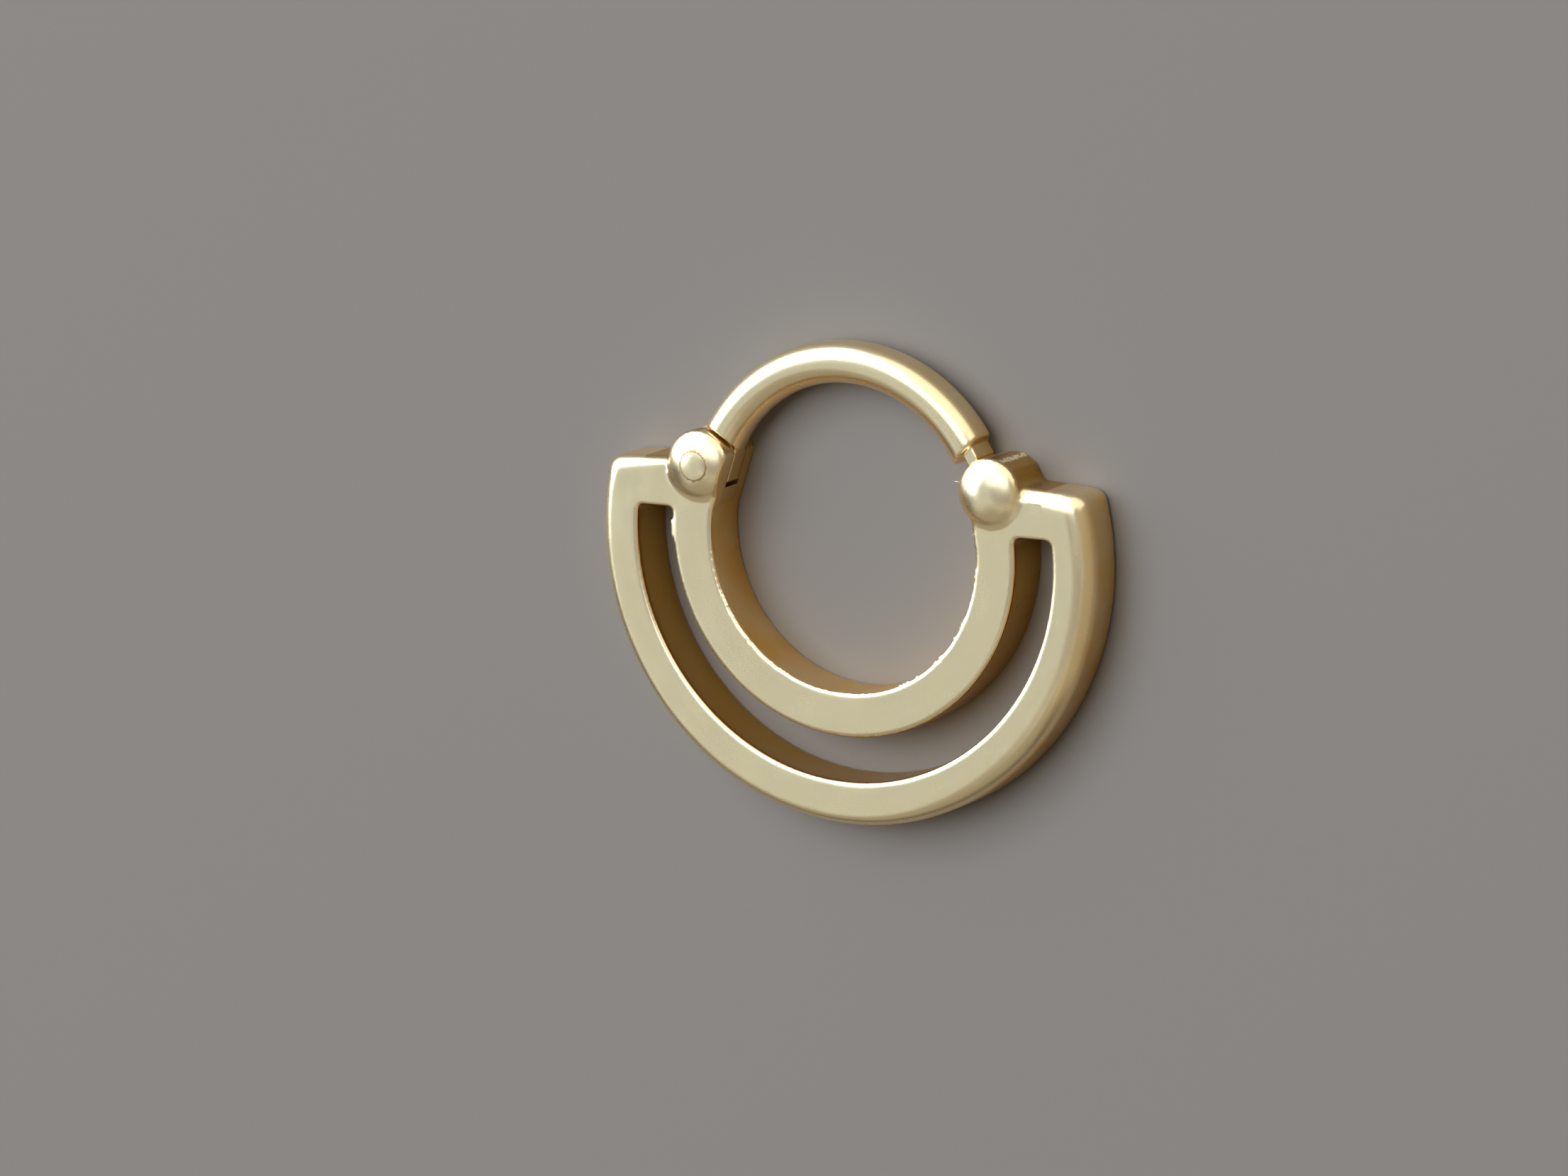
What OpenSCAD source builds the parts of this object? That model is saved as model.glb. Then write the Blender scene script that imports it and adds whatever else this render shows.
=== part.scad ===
// Daith clicker ring: a cast double hoop closed by a curved bar on a hinge pin.
// It lies flat on its back. The origin is the centre of the round hole, on the plane of the back face.
// +X runs towards the latch, +Y towards the top of the bar, +Z out of the front face.

/* [Hoop] */
// Inside diameter of the round hole
hole_d = 8; // [7.8:0.1:8.2]
// Width of the inner band, seen from the front
inner_band_w = 1.17; // [1.05:0.01:1.25]
// Width of the open slot between the two bands
slot_w = 1.08; // [1:0.01:1.2]
// Width of the outer band, seen from the front
outer_band_w = 1.15; // [1:0.01:1.3]
// How far the slot's outer wall is centred below the hole
slot_drop = 0.12; // [0:0.01:0.2]
// How far the outer band's outside is centred below the hole
outer_drop = 0.17; // [0.1:0.01:0.25]
// Depth of the hoop from back face to front face
hoop_depth = 1.5; // [1.4:0.05:1.6]
// Radius that rounds the outer edge of the front face
edge_round = 0.25; // [0.1:0.05:0.35]
// Radius that rounds the outer edge of the back face
rear_round = 0.1; // [0.05:0.05:0.2]

/* [Arms] */
// Height of the underside of both arms above the hole's centre
arm_under_y = 0.6; // [0.5:0.05:0.7]
// Height of the top of an arm where it leaves its barrel
arm_top_y = 1.93; // [1.85:0.01:1.95]
// Height of the top of an arm where it reaches the outer edge
arm_tip_y = 1.82; // [1.75:0.01:1.9]
// Radius of the corner between an arm's top and the outer edge
arm_corner_r = 0.42; // [0.2:0.02:0.5]
// Radius of the upper corners of the open slot
slot_corner_r = 0.2; // [0.1:0.05:0.3]

/* [Barrels] */
// Diameter of the hinge barrel
hinge_barrel_d = 1.84; // [1.8:0.01:1.88]
// Distance of the hinge barrel from the hole's centre, to the left
hinge_x = 4.32; // [4.3:0.01:4.36]
// Height of the hinge barrel above the hole's centre
hinge_y = 1.8; // [1.76:0.01:1.84]
// Diameter of the latch barrel
latch_barrel_d = 1.8; // [1.76:0.01:1.84]
// Distance of the latch barrel from the hole's centre, to the right
latch_x = 4.45; // [4.42:0.01:4.48]
// Height of the latch barrel above the hole's centre
latch_y = 1.75; // [1.72:0.01:1.78]
// How far a barrel stands out in front of the hoop
barrel_rise = 0.06; // [0.04:0.02:0.12]
// Height of the dome on the front of a barrel
dome_h = 0.25; // [0.2:0.01:0.35]
// Distance of the top of the hinge barrel's filed flat from the middle
flat_top_x = 3.48; // [3.46:0.01:3.52]
// Height of the top of that flat above the hole's centre
flat_top_y = 1.97; // [1.9:0.01:2]
// Height at which that flat runs out into the wall of the hole
flat_low_y = 0.55; // [0.4:0.05:0.7]
// Radius of the fillet between the latch barrel and the top of its arm
saddle_r = 0.2; // [0.1:0.05:0.3]

/* [Hinge] */
// Diameter of the hinge pin
pin_d = 0.8; // [0.7:0.05:0.85]
// Gap between the pin and the ears that hold it
pin_seat_gap = 0.01; // [0.01:0.005:0.02]
// Running clearance between the pin and the knuckle
pin_running_gap = 0.03; // [0.02:0.01:0.05]
// How far the pin's end stands proud of the dome
pin_proud = 0.015; // [0.005:0.005:0.03]
// Width of the fork between the two ears of the hinge
fork_w = 0.64; // [0.6:0.02:0.7]
// Diameter of the hollow that the knuckle turns in
fork_d = 1.72; // [1.68:0.01:1.76]
// Gap on each side of the knuckle
knuckle_side_gap = 0.03; // [0.02:0.01:0.04]
// Diameter of the knuckle
knuckle_d = 1.48; // [1.42:0.02:1.54]

/* [Bar] */
// Radius of the bar's centre line
bar_r = 4.27; // [4.24:0.01:4.3]
// Centre of the bar's curve, to the right of the hole's centre
bar_x = -0.1; // [-0.12:0.01:-0.08]
// Centre of the bar's curve, above the hole's centre
bar_y = 0.47; // [0.44:0.01:0.5]
// Thickness of the bar, seen from the front
bar_w = 1.11; // [1.07:0.01:1.15]
// Depth of the bar from back to front
bar_depth = 1.22; // [1.18:0.01:1.26]
// Gap between the bar's base and the ears of the hinge
base_gap = 0.1; // [0.08:0.01:0.12]
// Direction from the curve's centre to the middle of the bar's free end
shoulder_angle = 31; // [30:0.5:32]
// Slant of the free end's face, away from square
shoulder_slant = 16; // [12:1:20]

/* [Latch] */
// Depth of the tongue from back to front
tongue_depth = 0.95; // [0.9:0.01:1]
// How far the tongue reaches outwards from the bar's centre line
tongue_out = 0.3; // [0.26:0.01:0.32]
// How far the tongue reaches inwards from the bar's centre line
tongue_in = 0.06; // [0.02:0.01:0.12]
// Distance of the tongue's outer side from the hinge axis
tongue_reach = 8.31; // [8.28:0.01:8.34]
// Distance of the tongue's inner side from the middle, inside the latch barrel
tongue_x = 3.72; // [3.7:0.01:3.76]
// Height above the hole's centre from which the tongue drops straight down
tongue_bend_y = 2.32; // [2.28:0.01:2.34]
// Height of the tongue's tip above the hole's centre
tongue_tip_y = 2; // [1.96:0.01:2.1]
// Gap around the tongue in its seat
tongue_gap = 0.05; // [0.04:0.01:0.06]

/* [Hidden] */
$fn = 128;
hole_r = hole_d / 2;
inner_out_r = hole_r + inner_band_w;
outer_in_r = inner_out_r + slot_w;
outer_out_r = outer_in_r + outer_band_w;
hinge_barrel_r = hinge_barrel_d / 2;
latch_barrel_r = latch_barrel_d / 2;
pin_r = pin_d / 2;
mid_z = hoop_depth / 2;
hinge_at = [-hinge_x, hinge_y];
latch_at = [latch_x, latch_y];
dome_top_z = hoop_depth + barrel_rise + dome_h;
// Ends of the hinge barrel's filed flat
flat_low = [-sqrt(hole_r * hole_r - flat_low_y * flat_low_y), flat_low_y];
flat_high = [-flat_top_x, flat_top_y];
// The full bar is cut off round the hinge at this distance
base_r = hinge_barrel_r + base_gap;
// Half the width of the flat web that joins the knuckle to the bar
web_half_w = 0.45 * bar_w;
// Angle of the hinge axis about the centre of the bar's curve
base_angle = atan2(hinge_y - bar_y, -hinge_x - bar_x);
bar_end = [bar_x + bar_r * cos(shoulder_angle), bar_y + bar_r * sin(shoulder_angle)];
// The sloping top of the right arm, as a point on it, its direction and its upward normal
arm_run = [7.1 - 5.3, arm_tip_y - arm_top_y];
arm_point = [5.3, arm_top_y];
arm_along = arm_run / norm(arm_run);
arm_normal = [-arm_along.y, arm_along.x];
// Size of a shape that reaches well past the whole ring
far = 30;
cast_gold = [0.86, 0.72, 0.45];
pin_gold = [0.90, 0.79, 0.55];
bar_gold = [0.90, 0.77, 0.50];

// Point of the line through p along u that lies at distance r from c, on the side that u points to
function line_meets_circle(p, u, c, r) =
    let (w = p - c, b = w * u)
    p + u * (sqrt(b * b - w * w + r * r) - b);

// A dome is the cap of a larger ball, which depends on the radius that the dome covers
function dome_ball_r(r) = (r * r + dome_h * dome_h) / (2 * dome_h);

// Copy on both sides of the ring
module both_sides() {
    children();
    mirror([1, 0]) children();
}

// The pie slice between directions a and b from point c, less a disc of radius r about c
module round_waste(c, a, b, r) {
    translate(c) difference() {
        polygon([[0, 0], 3 * a, 3 * (a + b) / norm(a + b), 3 * b]);
        circle(r);
    }
}

// Upper outer corner of the right arm, which the corner radius takes off
module arm_corner() {
    outer_c = [0, -outer_drop];
    c = line_meets_circle(arm_point - arm_corner_r * arm_normal, arm_along, outer_c, outer_out_r - arm_corner_r);
    round_waste(c, arm_normal, (c - outer_c) / norm(c - outer_c), arm_corner_r);
}

// One upper corner of the open slot on the right; sense is 1 at the inner wall and -1 at the outer wall
module slot_corner(wall_r, wall_y, sense) {
    y = arm_under_y - slot_corner_r;
    c = line_meets_circle([0, y], [1, 0], [0, wall_y], wall_r + sense * slot_corner_r);
    to_wall = (c - [0, wall_y]) / norm(c - [0, wall_y]) * -sense;
    round_waste(c, [0, 1], to_wall, slot_corner_r);
}

// The open slot between the bands, with both upper ends rounded
module slot_outline() {
    difference() {
        translate([0, -slot_drop]) circle(outer_in_r);
        circle(inner_out_r);
        translate([-far / 2, arm_under_y]) square(far);
        both_sides() {
            slot_corner(inner_out_r, 0, 1);
            slot_corner(outer_in_r, -slot_drop, -1);
        }
    }
}

// Front outline of the hoop inside its outer edge, without the barrels
module hoop_outline() {
    top = arm_point - 5.3 / arm_along.x * arm_along;
    top_far = arm_point + far * arm_along;
    difference() {
        both_sides() polygon([[0, -far], [far, -far], top_far, top]);
        circle(hole_r);
        // Between the barrels the hoop is open at the top
        translate([-hinge_x, latch_y]) square([hinge_x + latch_x, far]);
        slot_outline();
        both_sides() arm_corner();
    }
}

// Fillet between the latch barrel and the top of its arm
module saddle() {
    reach = latch_barrel_r + saddle_r;
    c = line_meets_circle(arm_point + saddle_r * arm_normal, arm_along, latch_at, reach);
    difference() {
        polygon([latch_at, latch_at + (c - latch_at) * latch_barrel_r / reach, c, c - saddle_r * arm_normal]);
        translate(c) circle(saddle_r);
    }
}

// Metal between the hinge barrel and the inner band, up to the filed flat
module flat_fill() {
    polygon([flat_low, flat_high, hinge_at, [-hinge_x - 0.3, flat_low_y]]);
}

// What the filed flat takes away from the hinge barrel
module flat_waste() {
    run = 2 * (flat_high - flat_low);
    polygon([flat_low, flat_low + run, [0, flat_low.y + run.y], [0, flat_low_y]]);
}

// A disc as deep as the hoop, with both edges rounded
module rounded_disc() {
    translate([0, -outer_drop, 0]) rotate_extrude() {
        square([outer_out_r - edge_round, hoop_depth]);
        translate([0, rear_round]) square([outer_out_r, hoop_depth - edge_round - rear_round]);
        square([outer_out_r - rear_round, hoop_depth - edge_round]);
        translate([outer_out_r - edge_round, hoop_depth - edge_round]) circle(edge_round);
        translate([outer_out_r - rear_round, rear_round]) circle(rear_round);
    }
}

// One barrel with its domed front
module barrel(at, r) {
    translate(at) rotate_extrude() intersection() {
        square([r, dome_top_z]);
        translate([0, dome_top_z - dome_ball_r(r)]) circle(dome_ball_r(r));
    }
}

// Space for the knuckle between the two ears of the hinge, open at the top
module fork_space() {
    translate([-hinge_x, 0, mid_z - fork_w / 2]) {
        translate([0, hinge_y, 0]) cylinder(r = fork_d / 2, h = fork_w);
        translate([-hinge_barrel_d, arm_top_y, 0]) cube([2 * hinge_barrel_d, 2, fork_w]);
    }
}

// Space for the tongue in the latch barrel, open towards the top and the round hole
module tongue_space() {
    depth = tongue_depth + 2 * tongue_gap;
    intersection() {
        translate([-hinge_x, hinge_y, mid_z - depth / 2]) cylinder(r = tongue_reach + tongue_gap, h = depth);
        translate([0, tongue_tip_y - tongue_gap, 0]) cube([far, 4, hoop_depth]);
    }
}

// Hole for the hinge pin through both ears
module pin_hole() {
    translate([-hinge_x, hinge_y, -1]) cylinder(r = pin_r + pin_seat_gap, h = hoop_depth + 3);
}

// The casting: both bands, the arms that join them and the two domed barrels
module frame() {
    color(cast_gold) difference() {
        union() {
            intersection() {
                linear_extrude(hoop_depth) hoop_outline();
                rounded_disc();
            }
            linear_extrude(hoop_depth) {
                saddle();
                flat_fill();
            }
            barrel(hinge_at, hinge_barrel_r);
            barrel(latch_at, latch_barrel_r);
        }
        translate([0, 0, -1]) linear_extrude(hoop_depth + 3) flat_waste();
        fork_space();
        tongue_space();
        pin_hole();
    }
}

// The plain hinge pin, cut flush at the back and following the dome at the front
module hinge_pin() {
    color(pin_gold) translate(hinge_at) rotate_extrude() intersection() {
        square([pin_r, dome_top_z + pin_proud]);
        translate([0, dome_top_z - dome_ball_r(hinge_barrel_r)]) circle(dome_ball_r(hinge_barrel_r) + pin_proud);
    }
}

// Section of the bar: two round sides joined by short straight ones
module bar_section() {
    straight = bar_depth - bar_w;
    for (s = [-1, 1]) translate([0, s * straight / 2]) circle(bar_w / 2);
    square([bar_w, straight], center = true);
}

// The curved bar between its slanting free end and the hinge
module bar_arc() {
    first_angle = shoulder_angle - 10;
    difference() {
        translate([bar_x, bar_y, mid_z])
            rotate([0, 0, first_angle])
            rotate_extrude(angle = base_angle - first_angle)
            translate([bar_r, 0]) bar_section();
        translate([bar_end.x, bar_end.y, 0]) rotate([0, 0, shoulder_angle + shoulder_slant])
            translate([-2, -4, -1]) cube([4, 4, hoop_depth + 2]);
        translate([-hinge_x, hinge_y, -1]) cylinder(r = base_r, h = hoop_depth + 2);
    }
}

// Flat web that carries the bar's curve on to the hinge axis
module web_outline() {
    intersection() {
        translate([bar_x, bar_y]) difference() {
            circle(bar_r + web_half_w);
            circle(bar_r - web_half_w);
            rotate(base_angle) translate([-far / 2, 0]) square(far);
        }
        translate(hinge_at) circle(base_r + 0.3);
    }
}

// Tongue that closes into the latch: it runs on from the bar's free end, then drops straight down
module tongue_outline() {
    lap = 0.4;
    intersection() {
        union() {
            translate(bar_end) rotate(shoulder_angle - 90)
                translate([-lap, -tongue_in]) square([lap + 2, tongue_in + tongue_out]);
            translate([tongue_x, tongue_tip_y]) square([1, tongue_bend_y - tongue_tip_y]);
        }
        translate(hinge_at) circle(tongue_reach);
        translate([0, tongue_tip_y]) square(far);
    }
}

// The hinged bar: the part worn through the piercing, with its knuckle and tongue
module bar() {
    knuckle_w = fork_w - 2 * knuckle_side_gap;
    color(bar_gold) difference() {
        union() {
            bar_arc();
            translate([0, 0, mid_z - knuckle_w / 2]) linear_extrude(knuckle_w) {
                translate(hinge_at) circle(knuckle_d / 2);
                web_outline();
            }
            translate([0, 0, mid_z - tongue_depth / 2]) linear_extrude(tongue_depth) tongue_outline();
        }
        translate([-hinge_x, hinge_y, -1]) cylinder(r = pin_r + pin_running_gap, h = hoop_depth + 2);
    }
}

frame();
hinge_pin();
bar();
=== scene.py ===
import math

import bpy
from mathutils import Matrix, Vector


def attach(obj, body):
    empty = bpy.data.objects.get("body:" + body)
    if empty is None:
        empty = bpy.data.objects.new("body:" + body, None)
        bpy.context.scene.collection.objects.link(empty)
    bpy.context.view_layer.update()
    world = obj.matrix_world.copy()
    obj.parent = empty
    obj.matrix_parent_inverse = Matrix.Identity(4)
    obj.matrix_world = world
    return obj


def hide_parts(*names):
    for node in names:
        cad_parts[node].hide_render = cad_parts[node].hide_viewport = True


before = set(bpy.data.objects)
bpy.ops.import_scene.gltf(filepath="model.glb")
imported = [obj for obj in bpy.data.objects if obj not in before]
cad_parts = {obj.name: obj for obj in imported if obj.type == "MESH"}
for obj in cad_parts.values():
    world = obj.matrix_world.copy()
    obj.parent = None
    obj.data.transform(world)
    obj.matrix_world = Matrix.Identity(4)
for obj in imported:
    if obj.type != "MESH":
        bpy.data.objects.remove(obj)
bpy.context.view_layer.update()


# Camera
# It looks at the ring at the photograph's angle, from 24 cm away through a long lens.
# The ring lies on its flat back, so the camera stands well above the floor.
bpy.ops.object.camera_add(
    location=(0.11884, 0.04660, 0.20652),
    rotation=[math.radians(turn) for turn in (-11.991, 30.252, -1.193)],
)
camera = bpy.context.object
camera.name = "ring_camera"
camera.data.lens = 211.57
camera.data.sensor_width = 36
camera.data.clip_start = 0.01
camera.data.clip_end = 10
bpy.context.scene.camera = camera


# Floor and light
# A plain matt grey sheet carries the ring. A wide window stands at the upper left, and soft lights
# above, at the right, near by and low down fill the gold. The room round them is dim and warm.
PAPER_GREY = (0.232, 0.223, 0.222)
PAPER_ROUGHNESS = 0.8
FLOOR_WIDTH = 2.4
ROOM_WARMTH = (1.0, 0.80, 0.54)
ROOM_GLOW = 0.12


def plain_shader(name, colour, roughness, metallic=0):
    """A material with its own Principled shader, and that shader"""
    material = bpy.data.materials.new(name)
    material.use_nodes = True
    shader = material.node_tree.nodes["Principled BSDF"]
    shader.inputs["Base Color"].default_value = (*colour, 1)
    shader.inputs["Roughness"].default_value = roughness
    shader.inputs["Metallic"].default_value = metallic
    return material, shader


bpy.ops.mesh.primitive_plane_add(size=FLOOR_WIDTH, location=(0, 0, 0))
floor = bpy.context.object
floor.name = "pale_floor"
pale_paper = plain_shader("pale_paper", PAPER_GREY, PAPER_ROUGHNESS)[0]
floor.data.materials.append(pale_paper)


def soft_light(name, direction, distance, size, power, colour, on_floor=False, on_gloss=True):
    """A flat soft light from a direction, which may light the matt floor, the gloss or both"""
    place = Vector(direction).normalized() * distance
    bpy.ops.object.light_add(type="AREA", location=place)
    light = bpy.context.object
    light.name = name
    light.rotation_euler = place.to_track_quat("Z", "Y").to_euler()
    light.data.shape = "RECTANGLE"
    light.data.size, light.data.size_y = size
    light.data.energy = power
    light.data.color = colour
    light.visible_camera = False
    light.visible_diffuse = on_floor
    light.visible_glossy = on_gloss


soft_light("window_light", (-0.66, 0.46, 0.47), 0.82, (1.20, 0.78), 11.5, (0.83, 0.92, 1.0))
soft_light("overhead_light", (-0.58, -0.22, 0.79), 0.8, (0.50, 0.60), 0.31, (0.72, 0.89, 1.0))
soft_light("ceiling_light", (0.10, -0.10, 1.0), 1.2, (1.3, 1.3), 1.3, (0.90, 0.96, 1.0))
soft_light("sky_light", (0.02, 0.36, 0.92), 1.0, (0.90, 0.60), 3.0, (0.86, 0.94, 1.0))
soft_light(
    "room_light", (-0.35, 0.40, 1.0), 1.2, (1.2, 1.2), 17.0, (1.0, 0.995, 0.98),
    on_floor=True, on_gloss=False,
)
soft_light("right_light", (0.36, 0.80, 0.40), 0.9, (1.40, 0.80), 4.6, (1.0, 0.94, 0.82))
soft_light("near_light", (0.86, -0.26, 0.44), 0.9, (1.30, 1.10), 1.3, (1.0, 0.86, 0.62))
soft_light("low_light", (-0.20, -0.72, 0.66), 0.9, (1.50, 0.90), 1.0, (1.0, 0.94, 0.80))
world = bpy.data.worlds.new("dim_room")
world.use_nodes = True
background = world.node_tree.nodes["Background"]
background.inputs["Color"].default_value = (*ROOM_WARMTH, 1)
background.inputs["Strength"].default_value = ROOM_GLOW
bpy.context.scene.world = world
bpy.context.scene.view_settings.view_transform = "Standard"
bpy.context.scene.view_settings.look = "None"


# Frame
# The casting: an inner and an outer band joined by two flat arms, with a domed hinge barrel at the
# left and a domed latch barrel at the right. It is one piece of yellow gold, filed and sanded by
# hand, so its edges are soft. It is shaped in millimetres, and scaled to metres when it is done.
MM = 0.001
HOOP_DEPTH = 1.5
HOLE_AT = (0, 0)
HOLE_R = 4.0
OUTER_AT = (0, -0.17)
OUTER_R = 7.395
ARM_TOP_AT = (5.3, 1.93)
ARM_TOP_NORMAL = (0.061, 0.998)
ARM_CORNER_AT = (6.797, 1.418)
ARM_CORNER_R = 0.42
ARM_CORNER_TURN = 13.15
SLOT_IN_R = 5.17
SLOT_OUT_AT = (0, -0.12)
SLOT_OUT_R = 6.25
SLOT_CORNER_R = 0.2
SLOT_CORNER_Y = 0.4
SLOT_CORNER_IN_X = 5.355
SLOT_CORNER_OUT_X = 6.028
SLOT_MID_AT = (0, -0.06)
SLOT_MID_R = 5.71
HINGE_AT = (-4.32, 1.80)
HINGE_R = 0.92
LATCH_AT = (4.45, 1.75)
LATCH_R = 0.90
DOME_TOP = 1.81
DOME_RISE = 0.46
HINGE_DOME_R = 0.98
LATCH_DOME_R = 0.96
VOXEL = 0.056


def only(piece):
    """Select this piece alone, in object mode"""
    if bpy.context.object and bpy.context.object.mode != "OBJECT":
        bpy.ops.object.mode_set(mode="OBJECT")
    bpy.ops.object.select_all(action="DESELECT")
    if piece:
        piece.select_set(True)
        bpy.context.view_layer.objects.active = piece


def placed():
    """The primitive just added, with its place put into its mesh"""
    piece = bpy.context.object
    only(piece)
    bpy.ops.object.transform_apply(location=True, rotation=True, scale=True)
    return piece


def rod(at, radius, low, high, sides=128):
    """An upright round rod"""
    only(None)
    bpy.ops.mesh.primitive_cylinder_add(
        vertices=sides, radius=radius, depth=high - low, location=(at[0], at[1], (low + high) / 2),
    )
    return placed()


def block(low, high):
    """A square block between two corners"""
    only(None)
    middle = [(a + b) / 2 for a, b in zip(low, high)]
    size = [b - a for a, b in zip(low, high)]
    bpy.ops.mesh.primitive_cube_add(size=1, location=middle, scale=size)
    return placed()


def slab(corners, low, high):
    """A flat slab with these corners, seen from the front"""
    only(None)
    bpy.ops.mesh.primitive_circle_add(vertices=len(corners), fill_type="NGON", location=(0, 0, 0))
    piece = placed()
    for vertex, (x, y) in zip(piece.data.vertices, corners):
        vertex.co = (x, y, low)
    pick(piece, "FACE", lambda centre, normal: True)
    bpy.ops.mesh.extrude_region_move(TRANSFORM_OT_translate={"value": (0, 0, high - low)})
    bpy.ops.mesh.select_all(action="SELECT")
    bpy.ops.mesh.normals_make_consistent(inside=False)
    only(piece)
    return piece


def pick(piece, kind, test):
    """Open a piece in edit mode with the vertices, edges or faces selected that pass the test"""
    only(piece)
    bpy.ops.object.mode_set(mode="EDIT")
    bpy.ops.mesh.select_mode(type=kind)
    bpy.ops.mesh.select_all(action="DESELECT")
    bpy.ops.object.mode_set(mode="OBJECT")
    mesh = piece.data
    if kind == "VERT":
        for vertex in mesh.vertices:
            vertex.select = test(vertex.co)
    elif kind == "EDGE":
        for edge in mesh.edges:
            a, b = (mesh.vertices[i].co for i in edge.vertices)
            edge.select = test(a, b)
    else:
        for face in mesh.polygons:
            face.select = test(face.center, face.normal)
    bpy.ops.object.mode_set(mode="EDIT")


def finished_with(piece, kind, **settings):
    """Add a modifier with these settings and apply it"""
    only(piece)
    bpy.ops.object.modifier_add(type=kind)
    modifier = piece.modifiers[-1]
    for name, value in settings.items():
        setattr(modifier, name, value)
    bpy.ops.object.modifier_apply(modifier=modifier.name)


def combine(piece, tool, how):
    """Add, cut away or keep what the tool covers, and throw the tool away"""
    finished_with(piece, "BOOLEAN", object=tool, operation=how, solver="EXACT")
    bpy.data.objects.remove(tool)


def saw(piece, point, normal):
    """Cut off all that lies beyond a plane, and close the cut"""
    pick(piece, "FACE", lambda centre, normal: True)
    bpy.ops.mesh.bisect(
        plane_co=point, plane_no=normal, use_fill=True, clear_outer=True, threshold=1e-6,
    )
    only(piece)


def polish(piece, repeat, weight=None):
    """Rub the surface soft, all over or as much as the weight says at each place"""
    settings = {"factor": 0.5, "iterations": repeat}
    if weight:
        rubbed = piece.vertex_groups.new(name="rubbed")
        for vertex in piece.data.vertices:
            share = weight(vertex.co)
            if share > 0:
                rubbed.add([vertex.index], share, "REPLACE")
        settings["vertex_group"] = rubbed.name
    finished_with(piece, "SMOOTH", **settings)
    piece.vertex_groups.clear()


def ramp(value, start, end):
    """0 before start, 1 after end, and smooth between them"""
    t = min(max((value - start) / (end - start), 0), 1)
    return t * t * (3 - 2 * t)


def away(p, centre):
    """How far a place is from an upright line through a centre"""
    return (p.xy - Vector(centre)).length


def arc(centre, radius, start, end, steps):
    """Points on a circle between two directions in degrees"""
    turns = [math.radians(start + (end - start) * i / steps) for i in range(steps + 1)]
    return [(centre[0] + radius * math.cos(t), centre[1] + radius * math.sin(t)) for t in turns]


# The round plate with both sloping arm tops, and the corner between each top and the outer edge
casting = rod(OUTER_AT, OUTER_R, 0, HOOP_DEPTH, sides=360)
casting.name = "frame_casting"
for side in (1, -1):
    top_at = (side * ARM_TOP_AT[0], ARM_TOP_AT[1], 0)
    saw(casting, top_at, (side * ARM_TOP_NORMAL[0], ARM_TOP_NORMAL[1], 0))
for side in (1, -1):
    corner = block((0.12, 0, -1), (1, 1, 3))
    only(corner)
    corner.rotation_euler[2] = math.radians(ARM_CORNER_TURN)
    corner.location = (*ARM_CORNER_AT, 0)
    bpy.ops.object.transform_apply(location=True, rotation=True, scale=True)
    combine(corner, rod(ARM_CORNER_AT, ARM_CORNER_R, -2, 4), "DIFFERENCE")
    if side < 0:
        corner.scale.x = -1
        only(corner)
        bpy.ops.object.transform_apply(scale=True)
        pick(corner, "FACE", lambda centre, normal: True)
        bpy.ops.mesh.normals_make_consistent(inside=False)
        only(corner)
    combine(casting, corner, "DIFFERENCE")

# The round hole, the open slot between the bands, and the gap at the top for the bar
combine(casting, rod(HOLE_AT, HOLE_R, -2, 4, sides=256), "DIFFERENCE")
slot = slab(
    arc(HOLE_AT, SLOT_IN_R, 4.27, -184.27, 240)
    + arc((-SLOT_CORNER_IN_X, SLOT_CORNER_Y), SLOT_CORNER_R, -4.27, 90, 10)
    + arc((-SLOT_CORNER_OUT_X, SLOT_CORNER_Y), SLOT_CORNER_R, 90, 175.07, 10)
    + arc(SLOT_OUT_AT, SLOT_OUT_R, 175.08, 364.92, 280)
    + arc((SLOT_CORNER_OUT_X, SLOT_CORNER_Y), SLOT_CORNER_R, 4.93, 90, 10)
    + arc((SLOT_CORNER_IN_X, SLOT_CORNER_Y), SLOT_CORNER_R, 90, 184.27, 10),
    -1, 3,
)
combine(casting, slot, "DIFFERENCE")
combine(casting, block((HINGE_AT[0], LATCH_AT[1], -1), (LATCH_AT[0], 5, 3)), "DIFFERENCE")
# Points that the cuts left nearly on one another are merged
pick(casting, "VERT", lambda p: True)
bpy.ops.mesh.remove_doubles(threshold=0.02)

# The edges are rubbed round: the outer front one most, and more at the right than at the left.
# Each edge's weight is its own width as a share of the widest.
ROUNDEST = 0.56
HOLE_EDGE = 0.07
SLOT_EDGE = 0.09
BACK_EDGE = 0.12
ARM_EDGE_LEFT = 0.16
ARM_EDGE_RIGHT = 0.09
OUTER_EDGE_LEFT = 0.28
OUTER_EDGE_MORE = 0.17
only(casting)
weights = casting.data.attributes.new("bevel_weight_edge", "FLOAT", "EDGE")
for edge in casting.data.edges:
    a, b = (casting.data.vertices[i].co for i in edge.vertices)
    middle = (a + b) / 2
    near_outer = away(middle, OUTER_AT) > 6.9
    width = 0
    if min(a.z, b.z) > HOOP_DEPTH - 0.01 and away(middle, HINGE_AT) >= 0.5:
        if away(middle, HOLE_AT) < HOLE_R + 0.02:
            width = HOLE_EDGE if middle.y < 0.9 else 0
        elif middle.y > 1.84:
            width = ARM_EDGE_LEFT if middle.x < 0 else ARM_EDGE_RIGHT
        elif near_outer:
            width = OUTER_EDGE_LEFT + OUTER_EDGE_MORE * ramp(middle.x, 1, 6.5)
        elif middle.y < 0.58:
            width = SLOT_EDGE
    elif max(a.z, b.z) < 0.01 and near_outer:
        width = BACK_EDGE
    weights.data[edge.index].value = width / ROUNDEST
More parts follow.
